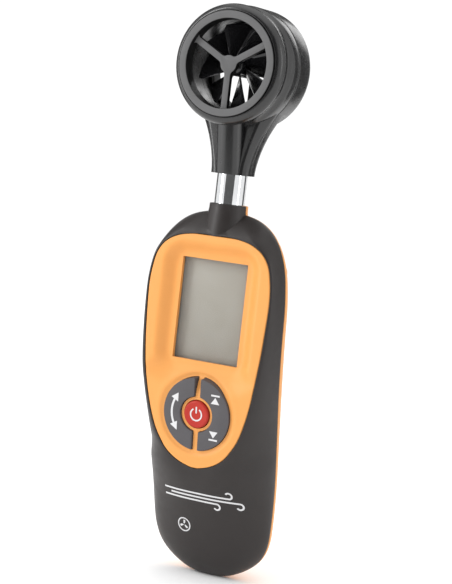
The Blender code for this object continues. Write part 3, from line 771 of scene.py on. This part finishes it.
def plate_front(x, z, inward):
    """Depth of the faceplate's face: a rim, a soft dish round the display and a shallow round key recess."""
    below = ease((SCREEN_Z - 14 - z) / 5)
    dish = 1 - ease((box_distance(x, z, 11.6, 15.6, 3.0)) / (4.2 + 4.5 * below))
    away = math.hypot(x, z - CLUSTER_Z)
    recess = 1 - ease((away - 11.1) / 1.1)
    lip = math.exp(-((away - 12.7) / 0.9) ** 2)
    round_over = 0.35 * (1 - math.sqrt(max(1 - (1 - min(inward / 0.45, 1)) ** 2, 0)))
    return fair(FRONT, z) + DISH_DEPTH * dish + RECESS_DEPTH * recess - 0.12 * lip * (1 - dish) + round_over


def screen_outline(half_wide, half_tall, corner, steps):
    """A rounded rectangle about the display's centre, in the front view."""
    low, high = SCREEN_Z - half_tall, SCREEN_Z + half_tall
    corners = [(-half_wide, low), (half_wide, low), (half_wide, high), (-half_wide, high)]
    return rounded(corners, corner, steps)


def make_faceplate():
    """The dished faceplate, drawn as rows across it from the bottom up, then cut for window and keys."""
    rings_in = [0, 0.04, 0.12, 0.22, 0.34, 0.5]
    across = 84
    rows = []
    heights = sorted({*[float(z) for z in PLATE_CURVE[1:-1, 1]], *np.arange(34.6, 100.2, 0.36)})
    heights = [z for i, z in enumerate(heights) if i == 0 or z - heights[i - 1] > 0.04]
    tip = np.array([heights[0], heights[-1]])
    for z in heights:
        half = plate_half(z)
        edge = [half - d for d in rings_in if half - d > 0.6 * half]
        inner = list(np.linspace(edge[-1], -edge[-1], across - 2 * (len(edge) - 1)))
        xs = [*edge[:-1], *inner, *[-e for e in reversed(edge[:-1])]]
        rows.append([(x, z, min(half - abs(x), np.abs(z - tip).min() * 1.2)) for x in xs])
    wide = len(rows[0])
    front = [(x, plate_front(x, z, inward), z) for row in rows for x, z, inward in row]
    back = [(x, fair(FRONT, z) + PLATE_THIN + (PLATE_THICK - PLATE_THIN) * ease((z - PLATE_STEP_Z) / 4), z)
            for row in rows for x, z, _ in row]
    faces, total = [], len(front)
    for i in range(len(rows) - 1):
        for k in range(wide - 1):
            a, b = i * wide + k, (i + 1) * wide + k
            faces += [(a, a + 1, b + 1, b), (total + a, total + b, total + b + 1, total + a + 1)]
        for k in (0, wide - 1):
            a, b = i * wide + k, (i + 1) * wide + k
            faces.append((a, b, total + b, total + a))
    for i in (0, len(rows) - 1):
        faces += [(i * wide + k, i * wide + k + 1, total + i * wide + k + 1, total + i * wide + k)
                  for k in range(wide - 1)]
    made = new_object("face_plate", front + back, faces)
    cut(made, prism("tool", screen_outline(SCREEN_WIDE / 2, SCREEN_TALL / 2, 0.3, 3), -9, 0))
    cut(made, tilt(rod("tool", *cluster_line(-6, 8), POWER_R + 0.2, 72), CLUSTER_TILT, CLUSTER_PIVOT))
    for side in (-1, 1):
        cut(made, tilt(prism("tool", half_ring_outline(side, 0.16), CLUSTER_FRONT - 6, CLUSTER_FRONT + 8),
                       CLUSTER_TILT, CLUSTER_PIVOT))
    dress(made, "body", "body_orange", "faceplate", sharp=40)


def cluster_line(y0, y1):
    return (0, CLUSTER_FRONT + y0, CLUSTER_Z), (0, CLUSTER_FRONT + y1, CLUSTER_Z)


def half_ring_outline(side, grow=0.0):
    """One half of the key ring beside the upright bar, as an outline in the front view."""
    out, inner, bar = RING_OUT + grow, RING_IN - grow, BAR_HALF - grow
    far = math.degrees(math.acos(bar / out))
    near = math.degrees(math.acos(bar / inner))
    points = arc(out, -far, far, 44) + arc(inner, near, -near, 26)
    radii = [0.0] * len(points)
    for corner in (0, 44, 45, 71):
        radii[corner] = 0.5
    return [(side * x, CLUSTER_Z + z) for x, z in rounded(points, radii, 3)]


def make_keys():
    """Two grey half-ring keys and the round power key between them."""
    front, back = CLUSTER_FRONT + CAP_FRONT, CLUSTER_FRONT + 3.9
    for side, name, key, node in (
        (-1, "units_cap", "units_key", "units_button"), (1, "max_min_cap", "max_min_key", "max_min_button"),
    ):
        cap = tilt(prism(name, half_ring_outline(side), front, back), CLUSTER_TILT, CLUSTER_PIVOT)
        dress(bevel(cap, 0.22, 3, 50), key, "button_grey", node, sharp=50)
    dished = [(0.001, 0.16), (2.6, 0.10), (3.55, -0.02), (POWER_R, 0.35), (POWER_R, 4.2), (0.001, 4.2)]
    profile = rounded(dished, [0, 1.2, 0.7, 0.35, 0.2, 0], 5)
    power = revolve("power_cap", [(r, h + CAP_FRONT) for r, h in profile], 96, "Y",
                    (0, CLUSTER_FRONT, CLUSTER_Z))
    dress(tilt(power, CLUSTER_TILT, CLUSTER_PIVOT), "power_key", "button_red", "power_button", sharp=40)


def ribbon(name, points, width, place, closed=False, thick=0.05):
    """A printed stroke of one width along 2D points, laid on a surface by place(u, v, rise)."""
    p = [np.array(q, float) for q in points]
    rings = []
    for i, here in enumerate(p):
        before = p[i - 1] if i or closed else here
        after = p[(i + 1) % len(p)] if i < len(p) - 1 or closed else here
        along = (after - before) / np.linalg.norm(after - before)
        off = np.array((-along[1], along[0])) * width / 2
        rings.append([place(*(here + off), 0), place(*(here - off), 0),
                      place(*(here - off), thick), place(*(here + off), thick)])
    return loft(name, rings, closed)


def patch(name, outline, place, thick=0.05):
    """A printed filled shape."""
    return loft(name, [[place(u, v, rise) for u, v in outline] for rise in (0, thick)])


def on_cap(rise_from):
    """A placing function for the flat of a key, in the key ring's own coordinates."""
    def place(u, v, rise):
        return (u, CLUSTER_FRONT + rise_from - rise, CLUSTER_Z + v)
    return place


def arrow_head(tip, direction, length, half):
    """A triangle with its point at tip, facing direction in degrees."""
    a = math.radians(direction)
    along, side = np.array((math.cos(a), math.sin(a))), np.array((-math.sin(a), math.cos(a)))
    tip = np.array(tip, float)
    return [tuple(tip), tuple(tip - along * length + side * half), tuple(tip - along * length - side * half)]


def make_key_prints():
    """Power ring and bar, a two-way arrow for changing units, and arrows for the highest and lowest."""
    top = on_cap(CAP_FRONT + 0.165)
    power = join(ribbon("power_mark", arc(1.75, 122, 418, 40), 0.42, top, thick=0.07),
                 ribbon("tool", [(0, 0.35), (0, 1.2), (0, 2.25)], 0.42, top, thick=0.075))
    dress(tilt(power, CLUSTER_TILT, CLUSTER_PIVOT), "power_key", "print_white")
    flat = on_cap(CAP_FRONT + 0.012)
    mid = (RING_OUT + RING_IN) / 2
    swap = ribbon("units_mark", arc(mid, 152, 208, 24), 0.62, flat)
    for at in (151, 209):
        a = math.radians(at)
        base = np.array((mid * math.cos(a), mid * math.sin(a)))
        way = math.radians(at + (-90 if at < 180 else 90))
        tip = base + 1.9 * np.array((math.cos(way), math.sin(way)))
        join(swap, patch("tool", arrow_head(tip, math.degrees(way), 2.3, 1.25), flat, 0.056))
    dress(tilt(swap, CLUSTER_TILT, CLUSTER_PIVOT), "units_key", "print_white")
    for name, at, facing in (("max_mark", 41, 90), ("min_mark", -41, -90)):
        a = math.radians(at)
        centre = np.array((mid * math.cos(a), mid * math.sin(a)))
        up = np.array((0, math.copysign(1, facing)))
        mark = patch(name, arrow_head(centre + up * 0.75, facing, 1.9, 1.35), flat)
        bar = centre + up * 1.3
        join(mark, ribbon("tool", [bar - (1.35, 0), bar, bar + (1.35, 0)], 0.5, flat, thick=0.056))
        dress(tilt(mark, CLUSTER_TILT, CLUSTER_PIVOT), "max_min_key", "print_white")


def on_body(u, v, rise):
    return (u, front_skin(u, v) - rise + 0.015, v)


def make_body_prints():
    """Three curling wind lines and a small three-bladed wheel, printed on the lower front."""
    wind = []
    radius = 0.9
    lines = ((-11.2, 10.0, 26.0, 1), (-8.8, 12.9, 24.9, -1), (-11.2, 6.2, 23.8, -1))
    for index, (left, right, level, curl) in enumerate(lines):
        run = [(x, level) for x in np.linspace(left, right, 44)]
        run += arc(radius, -90 * curl, 150 * curl, 16, (right, level + curl * radius))[1:]
        name = "wind_mark" if index == 0 else "tool"
        wind.append(ribbon(name, run, 0.5, on_body, thick=0.05 + 0.003 * index))
    dress(join(*wind), "body", "print_white")
    centre = np.array((-5.3, 15.1))

    def about(u, v, rise):
        return on_body(u + centre[0], v + centre[1], rise)

    wheel = ribbon("wheel_mark", arc(2.0, 0, 354, 59), 0.36, about, closed=True)
    for turn in (90, 210, 330):
        petal = [(r * math.cos(math.radians(turn + s)), r * math.sin(math.radians(turn + s)))
                 for r, s in ((0.25, -20), (0.8, -34), (1.45, -22), (1.5, 4), (0.9, 8), (0.3, 30))]
        join(wheel, patch("tool", rounded(petal, 0.2, 3), about, 0.056))
    dress(wheel, "body", "print_white")


def make_display():
    """A bevelled clear window over the display."""
    window = prism("display_window", screen_outline(11.8, 16.0, 0.8, 4), -3.05, -2.35)
    dress(bevel(window, 0.1, 2), "body", "window", "lcd_window")
    glass = prism("display_glass", screen_outline(12.1, 16.5, 0.3, 2), -2.05, -0.45)
    dress(bevel(glass, 0.08, 2), "body", "lcd", "lcd_glass")


# ---- screws and springs

def make_screw(name, x, z, y0, y1, radius, body, node):
    """A pan head with a cross recess, on a plain shank that goes forwards into its boss."""
    head = rounded([(0.001, y1 - 1.1), (radius, y1 - 1.1), (radius, y1 - 0.45), (0.001, y1)],
                   [0, 0.1, radius * 0.6, 0], 6)
    made = revolve(name, head, 48, "Y", (x, 0, z))
    join(made, rod("tool", (x, y0, z), (x, y1 - 0.8, z), radius * 0.5, 24))
    arm, slit = radius * 0.62, radius * 0.13
    for wide, tall in ((arm, slit), (slit, arm)):
        cut(made, block("tool", (x - wide, y1 - 0.75, z - tall), (x + wide, y1 + 1, z + tall)))
    dress(made, body, "steel", node, sharp=30)


def screw_tip(z):
    thickness = PLATE_THIN if z < PLATE_STEP_Z else PLATE_THICK
    return max(smooth(PARTING, z) - 4.0, smooth(FRONT, z) + thickness + 1.0)


def make_screws():
    for index, (x, z) in enumerate(CASE_SCREWS, 1):
        part = smooth(PARTING, z)
        make_screw(f"body_screw_{index}", x, z, screw_tip(z), part + 5.4, 1.9, "body", f"case_screw_{index}")
    for x, z in HEAD_SCREWS:
        side = "left" if x < 0 else "right"
        make_screw(f"neck_screw_{side}", x, z, -2.0, 3.6, 1.5, "head", f"head_screw_{side}")


def make_springs():
    """Conical contact springs in the battery bay."""
    for side in ("left", "right"):
        low, high = (Vector(c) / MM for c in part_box(f"battery_spring_{side}"))
        centre = (low + high) / 2
        turns, wire, reach = 2.5, 0.17, 0.36
        points = []
        for i in range(int(turns * 28) + 1):
            a = 2 * math.pi * i / 28
            share = i / (turns * 28)
            radius = 2.9 - 1.1 * share
            points.append((radius * math.cos(a), radius * math.sin(a), reach * (2 * share - 1)))
        curve = bpy.data.curves.new(f"cell_spring_{side}", "CURVE")
        curve.dimensions = "3D"
        curve.bevel_depth = wire
        curve.bevel_resolution = 3
        curve.use_fill_caps = True
        line = curve.splines.new("POLY")
        line.points.add(len(points) - 1)
        up = -1 if side == "left" else 1
        spin = Matrix.Rotation(BACK_TILT, 3, "X")
        for point, (px, py, pz) in zip(line.points, points):
            point.co = (*(centre + spin @ Vector((px, py, up * pz))), 1)
        drawn = placed("tool", curve)
        data = evaluated(drawn)
        bpy.data.objects.remove(drawn, do_unlink=True)
        dress(placed(f"cell_spring_{side}", data), "body", "steel", f"battery_spring_{side}", sharp=60)


# ---- neck and head

def neck_section(z, ahead):
    """Half of the flared neck's section, ahead of the parting line or behind it: face, chamfer and side."""
    t = (z - NECK_FOOT) / NECK_RISE
    wide = 5.85 + 6.2 * t**1.8
    face = 4.3 + 4.6 * t**1.3
    deep = 3.7 - 0.2 * t if ahead else 5.0 + 1.0 * t**2
    side = 2.3 - 0.9 * t if ahead else 2.3 + 1.6 * t**2
    way = -1 if ahead else 1
    outline = [(wide, way * PART_GAP), (wide, way * side), (face, way * deep),
               (-face, way * deep), (-wide, way * side), (-wide, way * PART_GAP)]
    return [(x, y, z) for x, y in rounded(outline, [0.15, 0.7, 0.6, 0.6, 0.7, 0.15], 4)]


FRONT_PROFILE = [
    (GUARD_SEAT_R, HEAD_FRONT + 0.05), (15.1, HEAD_FRONT - 0.02), (15.75, -10.98), (16.4, -10.25),
    (BEAD_R - 0.05, -9.4), (BEAD_R, -8.7), (BEAD_R - 0.25, -7.85), (16.3, -7.0), (16.12, -6.3),
    (16.25, -5.5), (16.6, -4.6), (16.95, -3.8), (HOUSING_R, -3.0),
]
REAR_PROFILE = [
    (HOUSING_R, 6.2), (17.0, 7.0), (16.6, 7.9), (15.9, 8.6), (15.1, HEAD_REAR), (14.2, HEAD_REAR),
]


def make_head():
    """The two halves of the vane head with the neck."""
    inner_front = [(LINER_R, -0.1), (LINER_R, -10.9), (GUARD_SEAT_R, -10.9)]
    inner_rear = [(14.2, 7.7), (LINER_R, 7.7)]
    ahead_of = [*dense(FRONT_PROFILE, 4), *softened_edge(HOUSING_R, -1), *inner_front]
    behind_it = [*softened_edge(HOUSING_R, 1), *dense(REAR_PROFILE, 4), *inner_rear]
    front, rear = revolve("head_front", ahead_of, 192), revolve("head_rear", behind_it, 192)
    heights = levels_between(NECK_FOOT, NECK_TOP, 0.6) + [NECK_TOP]
    for half, ahead in ((front, True), (rear, False)):
        neck = loft("tool", [neck_section(z, ahead) for z in heights])
        if ahead:
            column = rod("tool", (0, -1.35, 116), (0, -5.3, 137), COLUMN_R, 96)
            below, behind = (-9, -20, 110), (-9, -PART_GAP, 110)
            cut(column, block("tool", below, (9, 20, NECK_FOOT)), block("tool", behind, (9, 20, 140)))
            join(neck, column)
        cut(neck, rod("tool", (0, -30, HEAD_Z), (0, 30, HEAD_Z), 14.6, 160))
        join(half, neck)
        cut(half, rod("tool", (0, 0, 110), (0, 0, 130.5), TUBE_R + 0.05, 96))
    for x, z in HEAD_SCREWS:
        cut(rear, rod("tool", (x, 2.2, z), (x, 12, z), 1.7, 40))
    dress(front, "head", "head_black", "head_front_shell", sharp=34)
    dress(rear, "head", "head_black", "head_rear_shell", sharp=34)


def softened_edge(radius, way):
    """The rounded edge of the housing at the parting line."""
    falls = ((0, 0.5), (0.03, 0.3), (0.1, 0.17), (0.25, PART_GAP))
    corner = [(radius - fall, way * away) for fall, away in falls]
    inside = (LINER_R, way * PART_GAP)
    return [*corner, inside] if way < 0 else [inside, *reversed(corner)]


def spider_outline(ring, hub=2.5, arm=0.95, fillet=1.3, past=0.35):
    """A hub with three filleted arms, running into a ring of the given inner radius."""
    x_hub = math.sqrt((hub + fillet) ** 2 - (arm + fillet) ** 2)
    start = math.degrees(math.atan2(arm + fillet, x_hub))
    small = 0.6
    x_ring = math.sqrt((ring - small) ** 2 - (arm + small) ** 2)
    end = math.degrees(math.atan2(arm + small, x_ring))
    upper = arc(ring + past, 0, end, 3)[1:]
    upper += arc(small, end, -90, 6, (x_ring, arm + small))
    upper += [(x_ring + (x_hub - x_ring) * k / 8, arm) for k in range(1, 8)]
    upper += arc(fillet, -90, -180 + start, 8, (x_hub, arm + fillet))
    upper += arc(hub, start, 60, 5)[1:]
    lower = [(x, -z) for x, z in reversed(upper)]
    one = [*lower[1:], (ring + past, 0), *upper]
    out = []
    for turn in (30, 150, 270):
        c, s = math.cos(math.radians(turn)), math.sin(math.radians(turn))
        out += [(x * c - z * s, HEAD_Z + x * s + z * c) for x, z in one]
    return out


def make_guard(name, node, ring, spokes, boss, bore):
    """A guard: a turned ring, a three-armed spider, and a boss bored for its bearing."""
    made = revolve(name, ring, 192)
    spider = bevel(prism("tool", spider_outline(GUARD_BORE_R), *spokes), 0.22, 3, 50)
    join(spider, revolve("tool", boss, 64))
    join(made, spider)
    cut(made, rod("tool", (0, bore[0], HEAD_Z), (0, bore[1], HEAD_Z), 1.2, 32))
    dress(made, "head", "guard_grey", node, sharp=40)


def make_guards():
    ring = [(14.6, -11.9), (14.6, -11.1), (13.45, -11.1), (13.45, -7.7), (GUARD_BORE_R, -7.7),
            (GUARD_BORE_R, -11.9)]
    boss = [(0.001, -8.7), (0.001, -7.9), (2.3, -7.9), (2.3, -8.7)]
    make_guard("front_grille", "front_guard", rounded(ring, [0.22, 0.1, 0.1, 0.15, 0.3, 0.28], 4),
               (-10.2, -8.6), rounded(boss, [0, 0, 0.3, 0], 4), (-9.3, -7))
    ring = [(13.8, 7.9), (13.8, 9.3), (GUARD_BORE_R, 9.3), (GUARD_BORE_R, 5.0), (13.45, 5.0), (13.45, 7.9)]
    boss = [(0.001, 5.0), (2.3, 5.0), (2.3, 5.8), (0.001, 5.8)]
    make_guard("rear_grille", "rear_guard", rounded(ring, [0.1, 0.25, 0.3, 0.15, 0.1, 0.1], 4),
               (5.6, 7.2), rounded(boss, [0, 0.3, 0, 0], 4), (4, 6.3))


def blade(index):
    """One thin twisted blade with rounded edges; its slant to the axis grows from root to tip."""
    start = math.radians(360 / BLADES * index + BLADE_TURN)
    rings = []
    for radius in np.linspace(2.2, 11.9, 22):
        spread = (1.0 + 0.28 * radius) / radius
        fore = -BLADE_REACH + 0.5 * ease((radius - 10.8) / 1.1)
        depths = [fore + (BLADE_REACH - fore) * k / 14 for k in range(15)]
        ring = []
        for side in (-1, 1):
            for depth in (depths if side < 0 else reversed(depths)):
                end = min(depth - fore, BLADE_REACH - depth)
                thick = 0.27 * math.sqrt(min(end / 0.3, 1) * 0.92 + 0.08)
                a = start - spread * depth / BLADE_REACH + side * thick / radius
                ring.append((radius * math.cos(a), ROTOR_MID_Y + depth, HEAD_Z + radius * math.sin(a)))
        rings.append(ring)
    return loft("tool", rings)


def make_rotor():
    """The hub with its twisted blades, bored for the axle."""
    hub = [(0.6, -7.2), (0.6, 1.9), (2.9, 1.9), (2.9, -6.3), (1.6, -7.2)]
    made = revolve("vane_rotor", rounded(hub, [0, 0, 0.3, 0.9, 0.4], 5), 96)
    for index in range(BLADES):
        join(made, blade(index))
    cut(made, rod("tool", (0, -9, HEAD_Z), (0, 4, HEAD_Z), 0.6, 24))
    dress(made, "rotor", "rotor_black", "rotor", sharp=42)


def make_tube():
    wall = [(TUBE_R, TUBE_TOP), (TUBE_R, TUBE_FOOT), (TUBE_BORE_R, TUBE_FOOT), (TUBE_BORE_R, TUBE_TOP)]
    pipe = revolve("neck_pipe", rounded(wall, 0.15, 3), 160, "Z", (0, 0, 0))
    dress(pipe, "head", "chrome", "neck_tube", sharp=40)


# ---- set, lights and camera

CAMERA_AZIMUTH, CAMERA_ELEVATION, CAMERA_ROLL = 26.853, 4.735, 6.546
CAMERA_DISTANCE, CAMERA_SIDE, CAMERA_RISE = 0.47502, 0.00223, 0.00240
CAMERA_LENS, SENSOR = 102.87, 36.0
CAMERA_TARGET_Z = 0.082
MODEL_MIDDLE = Vector((0, 0, 0.09))
CARD_TALL, CARD_ELEVATION, CARD_DISTANCE = 0.6, 10, 0.3
CARDS = [
    ("front_flag", 14, 0.40), ("left_flag", -112, 0.15), ("right_flag", 150, 0.13), ("rear_flag", 205, 0.16),
]


def towards(azimuth, elevation):
    """The way from the model to an azimuth and elevation in degrees; azimuth 0 is in front."""
    a, e = math.radians(azimuth), math.radians(elevation)
    return Vector((math.sin(a) * math.cos(e), -math.cos(a) * math.cos(e), math.sin(e)))


def aimed(name, data, azimuth, elevation, distance):
    """An object that faces the model's middle from a distance."""
    back = towards(azimuth, elevation)
    made = placed(name, data)
    made.location = MODEL_MIDDLE + back * distance
    made.rotation_euler = back.to_track_quat("Z", "Y").to_euler()
    return made


def make_camera():
    a, roll = math.radians(CAMERA_AZIMUTH), math.radians(CAMERA_ROLL)
    back = towards(CAMERA_AZIMUTH, CAMERA_ELEVATION)
    level = Vector((math.cos(a), math.sin(a), 0))
    above = back.cross(level)
    right = math.cos(roll) * level + math.sin(roll) * above
    up = -math.sin(roll) * level + math.cos(roll) * above
    target = Vector((0, TUBE_Y * MM, CAMERA_TARGET_Z))
    data = bpy.data.cameras.new("camera")
    data.sensor_width, data.lens = SENSOR, CAMERA_LENS
    data.clip_start = 0.01
    made = placed("camera", data)
    made.matrix_world = Matrix((
        (right.x, up.x, back.x, 0), (right.y, up.y, back.y, 0), (right.z, up.z, back.z, 0), (0, 0, 0, 1),
    ))
    made.location = target + back * CAMERA_DISTANCE + right * CAMERA_SIDE + up * CAMERA_RISE
    bpy.context.scene.camera = made


def make_floor():
    """A round pale floor, wide enough to meet the white surroundings far behind the object."""
    sides = 96
    rings = [0.3, 1.0, 3.0, 9.0]
    points = [(0, 0, 0)]
    for radius in rings:
        points += [(radius * math.cos(math.tau * i / sides), radius * math.sin(math.tau * i / sides), 0)
                   for i in range(sides)]
    faces = [(0, 1 + i, 1 + (i + 1) % sides) for i in range(sides)]
    for ring in range(len(rings) - 1):
        low = 1 + ring * sides
        faces += [(low + i, low + sides + i, low + sides + (i + 1) % sides, low + (i + 1) % sides)
                  for i in range(sides)]
    data = bpy.data.meshes.new("floor")
    data.from_pydata(points, [], faces)
    floor = placed("floor", data)
    floor.location.z = CAD_BOX[0].z - 0.0001
    look = Nodes("floor")
    look.feed(look.colours(look.noise(6, 3), (0.3, (0.955,) * 3), (0.7, (0.975,) * 3)), "Base Color")
    look.shader.inputs["Roughness"].default_value = 0.9
    look.shader.inputs["Specular IOR Level"].default_value = 0.1
    data.materials.append(look.material)


def area_light(name, azimuth, elevation, distance, wide, tall, power):
    data = bpy.data.lights.new(name, "AREA")
    data.shape = "RECTANGLE"
    data.size, data.size_y = wide, tall
    data.energy = power
    aimed(name, data, azimuth, elevation, distance)


def glossy_card(name, azimuth, wide):
    """A dark card near the model that only reflections see, for the dark bands in polished metal."""
    data = bpy.data.meshes.new(name)
    w, h = wide / 2, CARD_TALL / 2
    data.from_pydata([(-w, -h, 0), (w, -h, 0), (w, h, 0), (-w, h, 0)], [], [(0, 1, 2, 3)])
    card = aimed(name, data, azimuth, CARD_ELEVATION, CARD_DISTANCE)
    look = Nodes(name)
    look.shader.inputs["Base Color"].default_value = (0.10, 0.10, 0.10, 1)
    look.shader.inputs["Specular IOR Level"].default_value = 0.0
    data.materials.append(look.material)
    card.visible_camera = card.visible_diffuse = card.visible_shadow = False
    card.visible_transmission = card.visible_volume_scatter = False


def make_lights():
    world = bpy.data.worlds.new("world")
    world.use_nodes = True
    sky = world.node_tree.nodes["Background"].inputs
    sky["Color"].default_value = (1, 1, 1, 1)
    sky["Strength"].default_value = 1.07
    bpy.context.scene.world = world
    area_light("key", -48, 20, 0.9, 0.2, 0.9, 4.5)
    area_light("fill", 92, 14, 1.0, 0.15, 0.8, 1.2)
    area_light("top", 0, 86, 1.0, 0.8, 0.8, 1)
    area_light("back", 190, 35, 1.0, 0.8, 0.5, 1.5)
    for name, azimuth, wide in CARDS:
        glossy_card(name, azimuth, wide)
    bpy.context.scene.view_settings.view_transform = "Standard"


make_camera()
make_floor()
make_lights()
slots = {row["node"]: row["material_slot"] for row in frame["record"]["subparts"]}
for node, cad in frame["nodes"].items():
    cad.data.materials.clear()
    cad.data.materials.append(LOOKS[slots[node]])
make_front_shell()
make_rear_shell()
make_door()
make_faceplate()
make_keys()
make_key_prints()
make_body_prints()
make_display()
make_screws()
make_springs()
make_head()
make_guards()
make_rotor()
make_tube()
